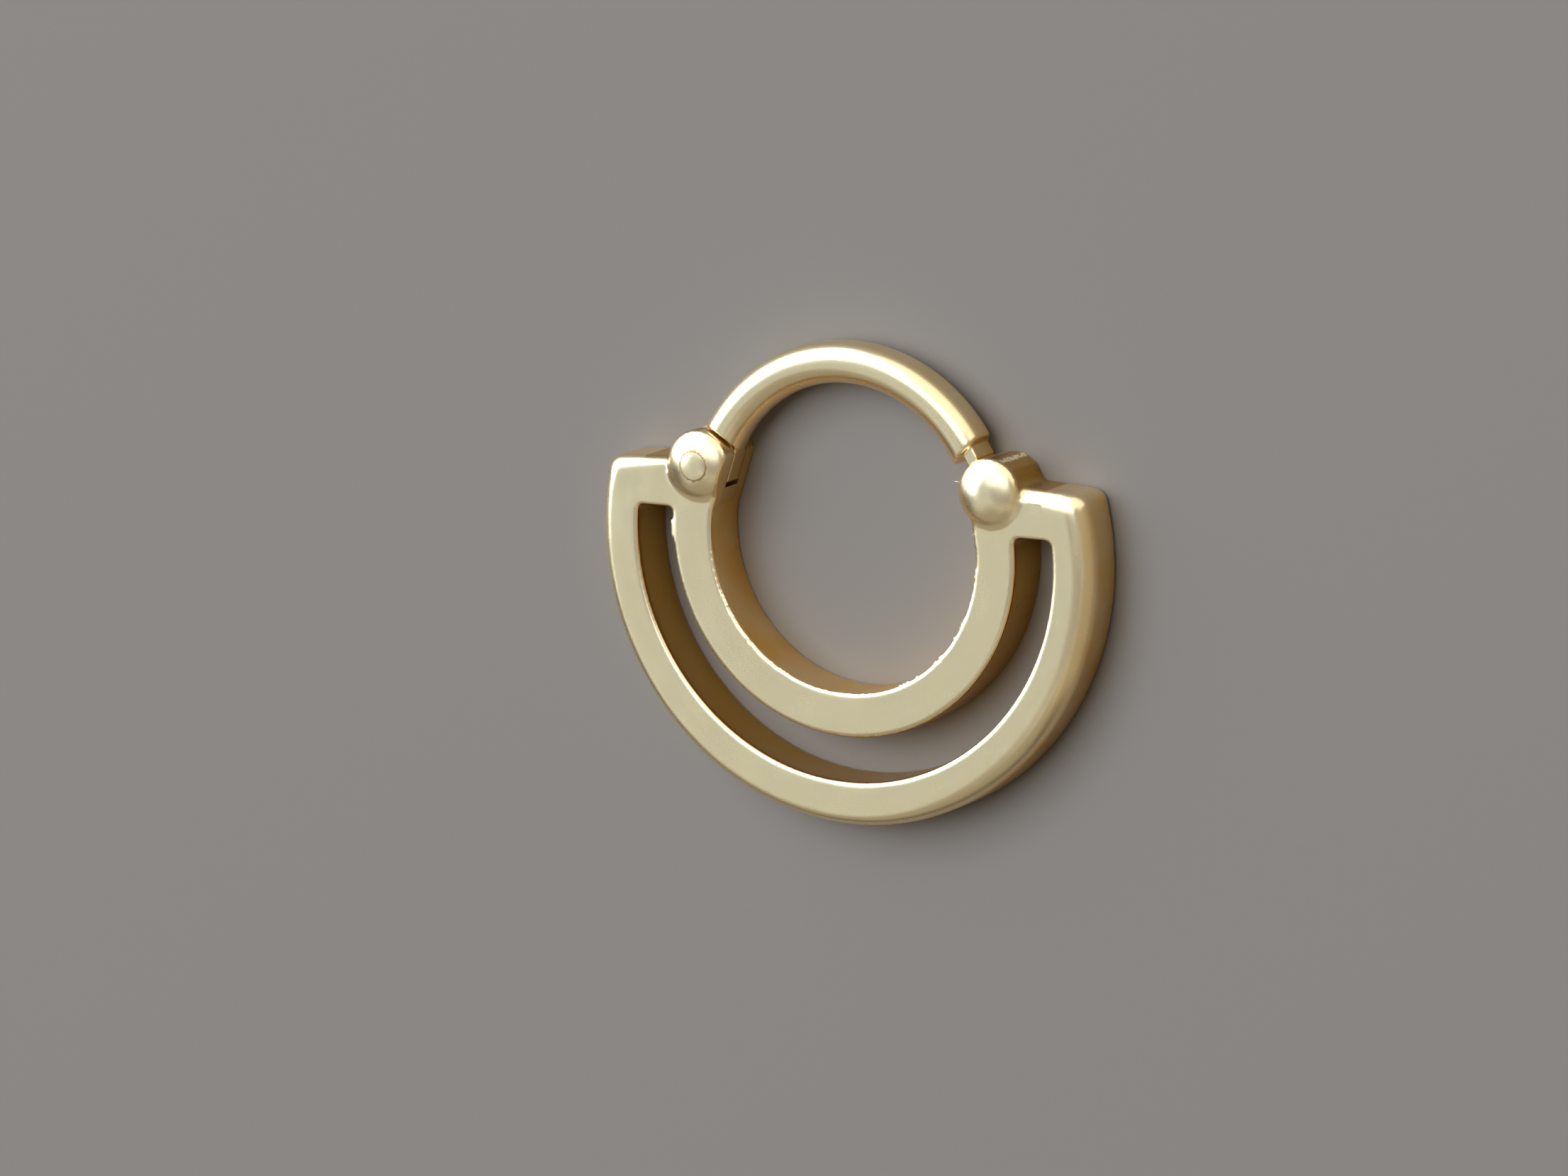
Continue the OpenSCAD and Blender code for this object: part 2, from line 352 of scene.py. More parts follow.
finished_with(
    casting, "BEVEL", limit_method="WEIGHT", width=ROUNDEST, segments=6, profile=0.40,
    use_clamp_overlap=False,
)


def domed_rod(at, radius, across, top):
    """A round rod from the back face up, its front a cap of a flattened ball, raised ring by ring"""
    rings = 18
    reach = math.asin(radius / across)
    ring_r = radius
    ring_z = top - DOME_RISE * (1 - math.cos(reach))
    piece = rod(at, radius, 0, ring_z, sides=160)
    pick(piece, "FACE", lambda centre, normal: normal.z > 0.9)
    for ring in range(1, rings):
        turn = reach * (1 - ring / rings)
        next_r = across * math.sin(turn)
        next_z = top - DOME_RISE * (1 - math.cos(turn))
        share = next_r / ring_r
        bpy.ops.mesh.extrude_region_move(TRANSFORM_OT_translate={"value": (0, 0, next_z - ring_z)})
        bpy.ops.transform.resize(value=(share, share, 1), center_override=(*at, next_z))
        ring_r = next_r
        ring_z = next_z
    bpy.ops.mesh.poke()
    only(piece)
    return piece


# The hinge barrel with the metal behind its filed flat, and the latch barrel. They are soldered
# on, so their meshes are joined to the plate's here and made one skin below.
FLAT_FOOT = (-3.962, 0.55)
hinge_barrel = domed_rod(HINGE_AT, HINGE_R, HINGE_DOME_R, DOME_TOP)
behind_flat = slab([FLAT_FOOT, (-3.48, 1.97), HINGE_AT, (-4.62, FLAT_FOOT[1])], 0, HOOP_DEPTH)
combine(hinge_barrel, behind_flat, "UNION")
latch_barrel = domed_rod(LATCH_AT, LATCH_R, LATCH_DOME_R, DOME_TOP)
# Filing has flattened the latch barrel's side in three strips, which stop short of the dome
for turn, depth, front in ((30, 0.06, 1.40), (58, 0.05, 1.43), (94, 0.05, 1.40)):
    file_cut = block((LATCH_R - depth, -1, -1), (2, 1, front))
    only(file_cut)
    file_cut.rotation_euler[2] = math.radians(turn)
    file_cut.location = (*LATCH_AT, 0)
    bpy.ops.object.transform_apply(location=True, rotation=True, scale=True)
    combine(latch_barrel, file_cut, "DIFFERENCE")
# A bead of solder lies along the foot of each dome, on the band and not in the hole
BEAD_RISE = 0.04
solder_beads = []
for at, radius, low, high in (
    (HINGE_AT, HINGE_R + 0.04, (-6, 0, 1), (-4.0, 1.5, 2)),
    (LATCH_AT, LATCH_R + 0.04, (3, 0, 1), (6, 1.6, 2)),
):
    bead = rod(at, radius, 1.2, HOOP_DEPTH + BEAD_RISE)
    combine(bead, block(low, high), "INTERSECT")
    combine(bead, rod(HOLE_AT, HOLE_R + 0.08, 0, 3, sides=256), "DIFFERENCE")
    solder_beads.append(bead)

# The flat filed on the side of the hinge barrel that faces the hole, and the seat in the latch
# barrel for the tongue, which is round about the hinge so that the tongue swings in
flat_cut = slab([FLAT_FOOT, (-2.998, 3.39), (0, 3.39), (0, FLAT_FOOT[1])], -1, 3)
combine(hinge_barrel, flat_cut, "DIFFERENCE")
SEAT_REACH = 8.36
seat = rod(HINGE_AT, SEAT_REACH, 0.225, 1.275, sides=512)
combine(seat, block((0, 1.95, 0), (9, 6, 2)), "INTERSECT")
combine(latch_barrel, seat, "DIFFERENCE")
# The plate, both barrels and the solder become one skin, whose fine steps are polished off
only(casting)
hinge_barrel.select_set(True)
latch_barrel.select_set(True)
for bead in solder_beads:
    bead.select_set(True)
bpy.ops.object.join()
finished_with(casting, "REMESH", mode="VOXEL", voxel_size=VOXEL, adaptivity=0)
polish(casting, 4)


def on_flat(p):
    """Whether a place lies on the flat front, clear of its rounded edges and of both domes"""
    from_hole = away(p, HOLE_AT)
    from_outer = away(p, OUTER_AT)
    from_domes = min(away(p, HINGE_AT), away(p, LATCH_AT))
    on_metal = from_hole < 5.05 or from_outer > 6.42 or p.y > 0.72
    below_top = p.y < 1.25 or abs(p.x) < 6 and p.y < 1.6
    inside = from_hole > 4.1 and from_outer < 6.88 and below_top
    return p.z > 1.3 and on_metal and inside and from_domes > 1.08


# The front is rubbed flat on a stone, and its edges are rubbed after that
pick(casting, "VERT", on_flat)
bpy.ops.transform.resize(value=(1, 1, 0), center_override=(0, 0, HOOP_DEPTH))
only(casting)


def near_outside(p):
    """How near a place is to the outer edge of the front, from 0 to 1"""
    return ramp(away(p, OUTER_AT), 6.4, 6.8) * ramp(p.z, 1.22, 1.42)


# Years of wear show most at the outer right, at the arms' upper corners and in the saddle beside
# the latch
SADDLE_AT = (5.38, 1.98)
polish(casting, 50, lambda p: near_outside(p) * ramp(p.x, 0.5, 5.5) * ramp(-p.y, -1.9, -0.8))
polish(casting, 16, lambda p: ramp(abs(p.x), 6.1, 6.8) * ramp(p.y, 0.9, 1.5) * ramp(p.z, 0.6, 1.1))
polish(casting, 8, lambda p: ramp(0.5 - away(p, SADDLE_AT), 0, 0.3))

# The fork for the bar's knuckle and the pin's hole are cut last, so they are crisp. The hole is a
# little smaller than the pin, so no light shows between them.
FORK_R = 0.86
FORK_LOW = 0.43
FORK_HIGH = 1.07
PIN_HOLE_R = 0.36
fork = rod(HINGE_AT, FORK_R, FORK_LOW, FORK_HIGH)
combine(fork, block((-6.16, 1.93, FORK_LOW), (-2.48, 4, FORK_HIGH)), "UNION")
combine(fork, rod(HINGE_AT, PIN_HOLE_R, -1, 3), "UNION")
combine(casting, fork, "DIFFERENCE")
# The burr that the rounding leaves along the hole's front edge is reamed off, below the barrels
reamer = rod(HOLE_AT, HOLE_R - 0.008, 1.2, 1.7, sides=256)
combine(reamer, block((-5, -5, 1), (5, 0.5, 2)), "INTERSECT")
combine(casting, reamer, "DIFFERENCE")


def scaled_to_metres(piece):
    """Bring a finished piece from millimetres to metres, with smooth shading"""
    only(piece)
    piece.scale = (MM, MM, MM)
    bpy.ops.object.transform_apply(location=True, rotation=True, scale=True)
    bpy.ops.object.shade_smooth_by_angle(angle=math.radians(60))


def step(tree, kind, inputs, **settings):
    """Add a shader node, set it up, give each input its value or link, and return its outputs"""
    node = tree.nodes.new("ShaderNode" + kind)
    for name, value in settings.items():
        setattr(node, name, value)
    for name, value in inputs.items():
        if isinstance(value, bpy.types.NodeSocket):
            tree.links.new(value, node.inputs[name])
        else:
            node.inputs[name].default_value = value
    return node.outputs


def maths(tree, how, *values):
    """One sum in a shader, on numbers or on what other steps give"""
    return step(tree, "Math", dict(enumerate(values)), operation=how)[0]


def stretched(tree, value, start, end, low=0, high=1):
    """A value spread so that start gives low and end gives high, and held there beyond both"""
    inputs = {"Value": value, "From Min": start, "From Max": end, "To Min": low, "To Max": high}
    return step(tree, "MapRange", inputs)[0]


def mottled(tree, place, scale, detail, roughness=0.5):
    """A cloudy pattern, with finer clouds as the scale grows"""
    inputs = {"Vector": place, "Scale": scale, "Detail": detail, "Roughness": roughness}
    return step(tree, "TexNoise", inputs)[0]


def tinted(tree, share, under, over):
    """A colour with a share of another laid over it"""
    return step(tree, "Mix", {0: share, 6: under, 7: over}, data_type="RGBA")[2]


def offset_from(tree, place, centre):
    """The three parts of the way from a centre to a place, and its length seen from the front"""
    arm = step(tree, "VectorMath", {0: place, 1: centre}, operation="SUBTRACT")[0]
    flat_arm = step(tree, "VectorMath", {0: arm, 1: (1, 1, 0)}, operation="MULTIPLY")[0]
    reach = step(tree, "VectorMath", {0: flat_arm}, operation="LENGTH")["Value"]
    return step(tree, "SeparateXYZ", {0: arm}), reach


def new_group(name, takes, gives):
    """A shader node group with named inputs and outputs"""
    group = bpy.data.node_groups.new(name, "ShaderNodeTree")
    for socket, kind, value in takes:
        made = group.interface.new_socket(
            name=socket, in_out="INPUT", socket_type="NodeSocket" + kind,
        )
        if value is not None:
            made.default_value = value
    for socket in gives:
        group.interface.new_socket(name=socket, in_out="OUTPUT", socket_type="NodeSocketFloat")
    given = group.nodes.new("NodeGroupInput").outputs
    return group, given, group.nodes.new("NodeGroupOutput").inputs


# Hand finish: the slow waves that filing leaves in a flat face, and a fine mottled grain
hand_finish, given, result = new_group(
    "hand_finish",
    [("Place", "Vector", None), ("Grain per mm", "Float", 4.0), ("Wave depth mm", "Float", 0.02),
     ("Grain depth mm", "Float", 0.0008)],
    ["Height mm", "Tone", "Patches"],
)
waves = mottled(hand_finish, given["Place"], 0.42, 1.5, 0.4)
grain = mottled(hand_finish, given["Place"], given["Grain per mm"], 3)
pits = mottled(hand_finish, given["Place"], 1.3, 4, 0.6)
wave_height = maths(hand_finish, "MULTIPLY", waves, given["Wave depth mm"])
height = maths(hand_finish, "MULTIPLY_ADD", grain, given["Grain depth mm"], wave_height)
tone = maths(hand_finish, "MULTIPLY_ADD", grain, 0.5, pits)
tone = stretched(hand_finish, tone, 0.55, 0.95)
patches = mottled(hand_finish, given["Place"], 0.55, 2.5)
patches = stretched(hand_finish, patches, 0.40, 0.62)
hand_finish.links.new(height, result["Height mm"])
hand_finish.links.new(tone, result["Tone"])
hand_finish.links.new(patches, result["Patches"])

# Round marks: fine streaks that run round a centre, as a polishing wheel leaves them, and a few
# straight scratches across them
round_marks, given, result = new_group(
    "round_marks",
    [("Place", "Vector", None), ("Centre", "Vector", (0, 0, 0)), ("Streaks per mm", "Float", 14.0),
     ("Length mm", "Float", 3.0)],
    ["Streaks", "Scratches"],
)
parts, reach = offset_from(round_marks, given["Place"], given["Centre"])
turn = maths(round_marks, "ARCTAN2", parts["Y"], parts["X"])
along = maths(round_marks, "MULTIPLY", turn, reach)
along = maths(round_marks, "DIVIDE", along, given["Length mm"])
across = maths(round_marks, "MULTIPLY", reach, given["Streaks per mm"])
up = maths(round_marks, "MULTIPLY", parts["Z"], given["Streaks per mm"])
unrolled = step(round_marks, "CombineXYZ", {0: along, 1: across, 2: up})[0]
streaks = mottled(round_marks, unrolled, 1.0, 4)
tilted = step(
    round_marks, "VectorRotate", {"Vector": given["Place"], "Axis": (0.2, 0.1, 1), "Angle": 0.7},
)[0]
drawn = step(round_marks, "VectorMath", {0: tilted, 1: (0.35, 14, 3)}, operation="MULTIPLY")[0]
scratches = mottled(round_marks, drawn, 1.0, 0)
scratches = stretched(round_marks, scratches, 0.66, 0.80)
round_marks.links.new(streaks, result["Streaks"])
round_marks.links.new(scratches, result["Scratches"])

# File strips: a pale strip of painted sheen and a dark strip of painted shade along the filed side
# of a barrel. Each starts, is full, fades and ends at a turn about the barrel, in radians.
STRIPS = {"Pale sheen": (1.10, 1.16, 1.24, 1.32), "Dark shade": (0.25, 0.42, 0.74, 0.80)}
strip_sheen_and_shade, given, result = new_group(
    "strip_sheen_and_shade",
    [("Place", "Vector", None), ("Centre", "Vector", (0, 0, 0)), ("Radius mm", "Float", 0.9),
     ("Front mm", "Float", 1.42)],
    list(STRIPS),
)
parts, reach = offset_from(strip_sheen_and_shade, given["Place"], given["Centre"])
turn = maths(strip_sheen_and_shade, "ARCTAN2", parts["Y"], parts["X"])
ragged = mottled(strip_sheen_and_shade, given["Place"], 9.0, 3)
ragged = stretched(strip_sheen_and_shade, ragged, 0, 1, -0.13, 0.13)
turn = maths(strip_sheen_and_shade, "ADD", turn, ragged)
off = maths(strip_sheen_and_shade, "SUBTRACT", reach, given["Radius mm"])
off = maths(strip_sheen_and_shade, "ABSOLUTE", off)
near = stretched(strip_sheen_and_shade, off, 0.14, 0.08)
behind = maths(strip_sheen_and_shade, "SUBTRACT", given["Front mm"], parts["Z"])
behind = stretched(strip_sheen_and_shade, behind, 0.0, 0.04)
near = maths(strip_sheen_and_shade, "MULTIPLY", near, behind)
speckle = mottled(strip_sheen_and_shade, given["Place"], 22.0, 2)
speckle = stretched(strip_sheen_and_shade, speckle, 0.38, 0.50)
for strip, (start, full, fade, end) in STRIPS.items():
    rise = stretched(strip_sheen_and_shade, turn, start, full)
    fall = stretched(strip_sheen_and_shade, turn, end, fade)
    band = maths(strip_sheen_and_shade, "MULTIPLY", rise, fall)
    band = maths(strip_sheen_and_shade, "MULTIPLY", band, near)
    band = maths(strip_sheen_and_shade, "MULTIPLY", band, speckle)
    strip_sheen_and_shade.links.new(band, result[strip])

# Edge and hollow masks: edges that handling has polished, where a sheen is painted, and corners and
# hollows where shade is painted
edge_sheen_and_hollow_shade, given, result = new_group(
    "edge_sheen_and_hollow_shade", [("Wear and shade", "Float", 0.0), ("Reach", "Float", 0.7)], ["Edge", "Corner"]
)
hollow = maths(edge_sheen_and_hollow_shade, "MULTIPLY", given["Wear and shade"], -1.0)
worn_sheen_part = stretched(edge_sheen_and_hollow_shade, given["Wear and shade"], 0.2, given["Reach"])
hollow_shade_part = stretched(edge_sheen_and_hollow_shade, hollow, 0.3, given["Reach"])
edge_sheen_and_hollow_shade.links.new(worn_sheen_part, result["Edge"])
edge_sheen_and_hollow_shade.links.new(hollow_shade_part, result["Corner"])


def mark_wear_and_shade(piece, repeat, reach, painted_shade=lambda p: 0):
    """Store how proud each place stands: 1 on worn edges, -1 in corners and where shade is painted
    """
    only(piece)
    bpy.ops.object.duplicate()
    soft = bpy.context.object
    finished_with(soft, "SMOOTH", factor=0.5, iterations=repeat)
    proud = []
    for spot, soft_spot in zip(piece.data.vertices, soft.data.vertices):
        share = (spot.co - soft_spot.co).dot(spot.normal) / reach
        proud.append(-painted_shade(spot.co) or min(max(share, -1), 1))
    wear_and_shade = piece.data.attributes.new("wear_and_shade", "FLOAT", "POINT")
    wear_and_shade.data.foreach_set("value", proud)
    bpy.data.objects.remove(soft)


LIT_TOP_SHARE = 0.6
PATCH_LEAST = 0.55
SLOT_SHADE_SHARE = 0.85
EDGE_SHARE = 0.5


def gold(name, colours, roughness, finish, marks, depths, shade_brown=None, filed_barrel=None):
    """Yellow gold: its tone, its dull and bright colours, and how it was filed and polished"""
    main, dull, bright, brown, hollow_shade = [(*colour, 1) for colour in colours]
    material, shader = plain_shader(name, colours[0], roughness[0], 1)
    tree = material.node_tree
    place = step(tree, "TexCoord", {})
    place_mm = step(tree, "Mapping", {"Vector": place["Object"], "Scale": (1000, 1000, 1000)})[0]
    made = step(tree, "Group", {"Place": place_mm, **finish}, node_tree=hand_finish)
    wheel = step(tree, "Group", {"Place": place_mm, **marks}, node_tree=round_marks)
    wear_and_shade = step(tree, "Attribute", {}, attribute_name="wear_and_shade")
    rubbed = step(tree, "Group", {"Wear and shade": wear_and_shade["Fac"]}, node_tree=edge_sheen_and_hollow_shade)
    # Walls that face sideways get painted shade: they are tinted duller and browner than the front,
    # more in some slow patches than in others
    facing = step(tree, "SeparateXYZ", {0: place["Normal"]})
    flatness = maths(tree, "ABSOLUTE", facing["Z"])
    wall = stretched(tree, flatness, 0.75, 0.2)
    # The tops of the arms and the barrels face +Y and are kept partly out of that painted shade, so
    # they stay nearer the main gold
    spot = step(tree, "SeparateXYZ", {0: place_mm})
    upward = stretched(tree, facing["Y"], 0.4, 0.75)
    high = stretched(tree, spot["Y"], 1.5, 1.8)
    lit_top = maths(tree, "MULTIPLY", upward, high)
    lit_top = maths(tree, "MULTIPLY", lit_top, LIT_TOP_SHARE)
    not_lit_top = maths(tree, "SUBTRACT", 1.0, lit_top)
    wall_part = maths(tree, "MULTIPLY", not_lit_top, wall)
    least = PATCH_LEAST * depths["wall"]
    patch = stretched(tree, made["Patches"], 0, 1, least, depths["wall"])
    wall_part = maths(tree, "MULTIPLY", wall_part, patch)
    colour = tinted(tree, made["Tone"], dull, main)
    colour = tinted(tree, wall_part, colour, brown)
    if shade_brown:
        # The walls of the narrow slot get painted shade, a dark brown laid over them
        reach = offset_from(tree, place_mm, (*SLOT_MID_AT, 0))[1]
        off = maths(tree, "SUBTRACT", reach, SLOT_MID_R)
        off = maths(tree, "ABSOLUTE", off)
        within = stretched(tree, off, 0.66, 0.60)
        within = maths(tree, "MULTIPLY", within, wall)
        within = maths(tree, "MULTIPLY", within, SLOT_SHADE_SHARE)
        colour = tinted(tree, within, colour, (*shade_brown, 1))
    # The filed latch barrel gets a dark strip of painted shade and a pale strip of painted sheen
    if filed_barrel:
        centre = (*filed_barrel, 0)
        strips = step(tree, "Group", {"Place": place_mm, "Centre": centre}, node_tree=strip_sheen_and_shade)
        colour = tinted(tree, strips["Dark shade"], colour, (*shade_brown, 1))
        colour = tinted(tree, strips["Pale sheen"], colour, (*STRIP_SHEEN, 1))
    # Shade is painted into corners and the marked places, and a sheen is painted onto worn edges
    corner_shade_part = maths(tree, "MULTIPLY", rubbed["Corner"], depths["corner"])
    colour = tinted(tree, corner_shade_part, colour, hollow_shade)
    edge_sheen_part = maths(tree, "MULTIPLY", rubbed["Edge"], EDGE_SHARE)
    colour = tinted(tree, edge_sheen_part, colour, bright)
    tree.links.new(colour, shader.inputs["Base Color"])
    # Walls, the places with painted shade and the pale strip are duller, and worn edges and the
    # front are glossier
    front = stretched(tree, flatness, 0.97, 0.995)
    rough = stretched(tree, made["Tone"], 0, 1, roughness[1], roughness[0])
    rough = maths(tree, "MULTIPLY_ADD", wheel["Streaks"], depths["brushed"], rough)
    rough = maths(tree, "MULTIPLY_ADD", wall, 0.02, rough)
    rough = maths(tree, "MULTIPLY_ADD", rubbed["Edge"], -0.03, rough)
    rough = maths(tree, "MULTIPLY_ADD", front, -0.03, rough)
    rough = maths(tree, "MULTIPLY_ADD", corner_shade_part, 0.25, rough)
    if filed_barrel:
        rough = maths(tree, "MULTIPLY_ADD", strips["Pale sheen"], 0.3, rough)
    tree.links.new(rough, shader.inputs["Roughness"])
    # The waves, the grain and the streaks stand up from the surface, and scratches cut the front
    scored = maths(tree, "MULTIPLY", wheel["Scratches"], front)
    height = maths(tree, "MULTIPLY_ADD", wheel["Streaks"], depths["streak"], made["Height mm"])
    height = maths(tree, "MULTIPLY_ADD", scored, -depths["scratch"], height)
    relief = step(tree, "Bump", {"Strength": 1.0, "Distance": MM, "Height": height})[0]
    tree.links.new(relief, shader.inputs["Normal"])
    return material


# The main tone, the dull tone, the painted sheen on worn edges, the brown of painted shade on
# sideways walls, and the painted shade in hollows
GOLD_TONES = (
    (0.94, 0.81, 0.54), (0.89, 0.76, 0.49), (0.98, 0.87, 0.65), (0.92, 0.52, 0.10),
    (0.42, 0.26, 0.10),
)
# The pale strip's painted sheen, and the dark brown of painted shade on the slot walls and in the
# dark strip
STRIP_SHEEN = (1, 0.90, 0.68)
PAINTED_SHADE_BROWN = (0.52, 0.29, 0.04)
cast_gold = gold(
    "cast_gold", GOLD_TONES, (0.23, 0.28),
    {"Grain per mm": 2.4, "Wave depth mm": 0.07, "Grain depth mm": 0.0006},
    {"Centre": (0, 0, 0), "Streaks per mm": 9.0, "Length mm": 1.6},
    {"wall": 0.9, "streak": 0.0003, "scratch": 0.0002, "corner": 0.8, "brushed": 0.05},
    shade_brown=PAINTED_SHADE_BROWN, filed_barrel=LATCH_AT,
)


def hinge_shade(p):
    """Where shade is painted in the hinge: in a thin ring round the pin's end, and along the fork"""
    from_pin = away(p, HINGE_AT)
    if p.z > 1.6:
        return 1 if from_pin < 0.43 else 0
    return 0.5 if from_pin < 1.2 and 0.34 < p.z < 1.16 else 0


# Shade is painted in the hinge, as well as in the casting's hollows
mark_wear_and_shade(casting, 30, 0.05, painted_shade=hinge_shade)
scaled_to_metres(casting)
casting.data.materials.clear()
casting.data.materials.append(cast_gold)
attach(casting, "hoop")
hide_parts("frame")


# Hinge pin
# A plain gold pin pressed through both ears of the fork and the bar's knuckle. Its front end is
# filed to follow the dome, and its rear end is flush with the back.
PIN_R = 0.40
PIN_PROUD = 0.003
PIN_RIM_LOW = 1.770
PIN_RIM_HIGH = 1.775
pin = domed_rod(HINGE_AT, PIN_R, HINGE_DOME_R, DOME_TOP + PIN_PROUD)
pick(pin, "EDGE", lambda a, b: min(a.z, b.z) > PIN_RIM_LOW and max(a.z, b.z) < PIN_RIM_HIGH)
bpy.ops.mesh.bevel(offset=0.016, segments=3, affect="EDGES", clamp_overlap=False)
pin.name = "hinge_pin_flush"
# Shade is painted in a thin ring round the pin's rim
mark_wear_and_shade(pin, 4, 0.05, painted_shade=lambda p: 1 if away(p, HINGE_AT) > 0.378 else 0)
scaled_to_metres(pin)
pin_gold = gold(
    "pin_gold", GOLD_TONES, (0.20, 0.27),
    {"Grain per mm": 5.0, "Wave depth mm": 0.02, "Grain depth mm": 0.0007},
    {"Centre": (*HINGE_AT, 0), "Streaks per mm": 16.0, "Length mm": 0.8},
    {"wall": 0.6, "streak": 0.0008, "scratch": 0.0006, "corner": 1.0, "brushed": 0.08},
)
pin.data.materials.append(pin_gold)
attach(pin, "hoop")
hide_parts("hinge_pin")


# Bar
# The curved bar that is worn: a drawn gold rod bent to a bow and polished, with a flat knuckle on
# the pin at the left and a slanting shoulder with a flat tongue at the right.
BOW_AT = (-0.10, 0.47)
BOW_R = 4.27
BAR_W = 1.11
BAR_DEPTH = 1.22
BASE_ANGLE = math.degrees(math.atan2(HINGE_AT[1] - BOW_AT[1], HINGE_AT[0] - BOW_AT[0]))
SHOULDER_ANGLE = 31
SHOULDER_SLANT = 16
MID_Z = HOOP_DEPTH / 2
BAR_CORNERS = (0.50, 0.555, 0.555, 0.46)
BASE_HOLLOW_R = 0.98
WEB_W = 1.0
WEB_DEPTH = 0.58
WEB_REACH = 1.32
KNUCKLE_R = 0.74
KNUCKLE_LOW = 0.46
KNUCKLE_HIGH = 1.04
KNUCKLE_HOLE_R = 0.43
TONGUE_LOW = 0.275
TONGUE_HIGH = 1.225
TONGUE_FOOT = 2.0
TONGUE_REACH = 8.31
BAR_VOXEL = 0.03


def bow(width, depth, first, last, corner_radii, steps):
    """A rod with a rounded section, bent round the bow's centre between two angles"""
    sides = ((1, 1), (-1, 1), (-1, -1), (1, -1))
    corners = [Vector((BOW_R + x * width / 2, 0, z * depth / 2)) for x, z in sides]
    only(None)
    bpy.ops.mesh.primitive_circle_add(vertices=4, fill_type="NGON", location=(0, 0, 0))
    piece = placed()
    for vertex, corner in zip(piece.data.vertices, corners):
        vertex.co = corner
    for spot, radius in zip(corners, corner_radii):
        if radius:
            pick(piece, "VERT", lambda p: (p - spot).length < 1e-4)
            bpy.ops.mesh.bevel(offset=radius, segments=14, affect="VERTICES", clamp_overlap=False)
            only(piece)
    pick(piece, "FACE", lambda centre, normal: True)
    bpy.ops.transform.rotate(
        value=math.radians(-first), orient_axis="Z", center_override=(0, 0, 0)
    )
    bpy.ops.mesh.spin(
        steps=steps, angle=math.radians(last - first), center=(0, 0, 0), axis=(0, 0, -1)
    )
    bpy.ops.mesh.select_all(action="SELECT")
    bpy.ops.mesh.normals_make_consistent(inside=False)
    bpy.ops.transform.translate(value=(*BOW_AT, MID_Z))
    only(piece)
    return piece


bar = bow(BAR_W, BAR_DEPTH, SHOULDER_ANGLE - 10, BASE_ANGLE, BAR_CORNERS, 110)
bar.name = "curved_bar"
# The slanting end at the latch, and the hollow end that clears the hinge barrel
end_angle = math.radians(SHOULDER_ANGLE)
bar_end = Vector((
    BOW_AT[0] + BOW_R * math.cos(end_angle), BOW_AT[1] + BOW_R * math.sin(end_angle), 0,
))
cut_angle = math.radians(SHOULDER_ANGLE + SHOULDER_SLANT)
end_normal = Vector((math.sin(cut_angle), -math.cos(cut_angle), 0))
saw(bar, bar_end, end_normal)
combine(bar, rod(HINGE_AT, BASE_HOLLOW_R, -1, 3), "DIFFERENCE")
# The knuckle between the ears of the fork, and the web that joins it to the bar
web = bow(WEB_W, WEB_DEPTH, BASE_ANGLE - 20, BASE_ANGLE, (0, 0, 0, 0), 24)
combine(web, rod(HINGE_AT, WEB_REACH, -1, 3), "INTERSECT")
combine(web, rod(HINGE_AT, KNUCKLE_R, KNUCKLE_LOW, KNUCKLE_HIGH), "UNION")
neck = slab([HINGE_AT, (-3.715, 1.278), (-3.426, 2.130)], KNUCKLE_LOW, KNUCKLE_HIGH)
combine(web, neck, "UNION")
combine(bar, web, "UNION")
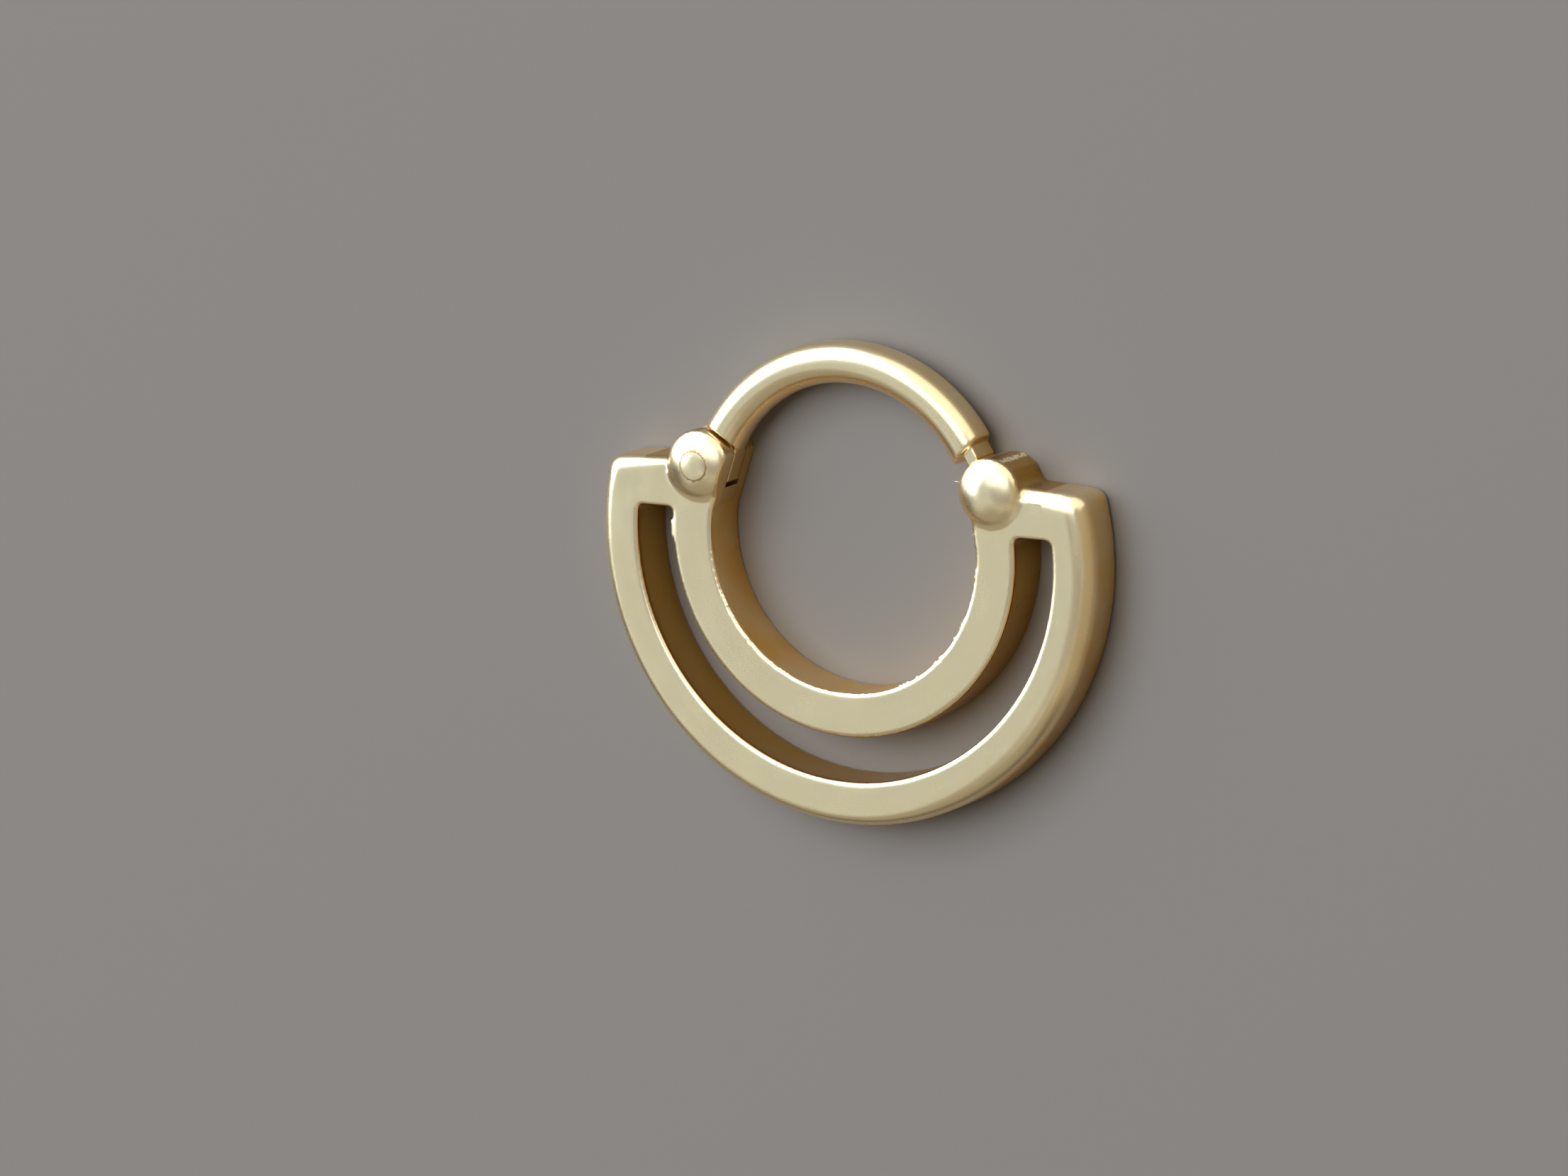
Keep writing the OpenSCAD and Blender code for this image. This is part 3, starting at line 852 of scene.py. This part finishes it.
# The flat tongue, whose tip is round about the hinge so that it swings into the seat
tongue_corners = [(-0.4, -0.06), (1.6, -0.06), (1.6, 0.30), (-0.4, 0.30)]
tongue = slab(tongue_corners, TONGUE_LOW, TONGUE_HIGH)
only(tongue)
tongue.rotation_euler[2] = math.radians(SHOULDER_ANGLE - 90)
tongue.location = (bar_end.x, bar_end.y, 0)
bpy.ops.object.transform_apply(location=True, rotation=True, scale=True)
combine(tongue, block((3.72, TONGUE_FOOT, TONGUE_LOW), (4.72, 2.32, TONGUE_HIGH)), "UNION")
combine(tongue, rod(HINGE_AT, TONGUE_REACH, -1, 3, sides=512), "INTERSECT")
combine(tongue, block((0, TONGUE_FOOT, -1), (9, 6, 3)), "INTERSECT")
combine(bar, tongue, "UNION")
combine(bar, rod(HINGE_AT, KNUCKLE_HOLE_R, -1, 3), "DIFFERENCE")
finished_with(bar, "REMESH", mode="VOXEL", voxel_size=BAR_VOXEL, adaptivity=0)
polish(bar, 4)


def on_bow(p):
    """How well a place lies on the bar's bow, away from both ends, from 0 to 1"""
    from_end = -(p - bar_end).dot(end_normal)
    return ramp(away(p, HINGE_AT), 1.1, 1.5) * ramp(from_end, 0.02, 0.12)


# The bow is polished all along, and more at its left half
polish(bar, 30, on_bow)
polish(bar, 60, lambda p: ramp(-p.x, -1.6, 0.6) * on_bow(p))


def near_shoulder(p):
    """How near a place is to the bar's slanting end, from 0 to 1"""
    past = (p - bar_end).dot(end_normal)
    return ramp(past, -0.40, -0.10) * (1 - ramp(past, 0.01, 0.05))


polish(bar, 50, near_shoulder)
# Shade is painted on the knuckle and web round the hinge
mark_wear_and_shade(bar, 40, 0.2, painted_shade=lambda p: 0.5 if away(p, HINGE_AT) < 1.0 else 0)
scaled_to_metres(bar)
bar_gold = gold(
    "bar_gold", GOLD_TONES, (0.25, 0.28),
    {"Grain per mm": 3.0, "Wave depth mm": 0.03, "Grain depth mm": 0.0003},
    {"Centre": (*BOW_AT, 0), "Streaks per mm": 12.0, "Length mm": 3.0},
    {"wall": 0.8, "streak": 0.0001, "scratch": 0.0002, "corner": 0.9, "brushed": 0.02},
)
bar.data.materials.clear()
bar.data.materials.append(bar_gold)
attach(bar, "bar")
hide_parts("bar")
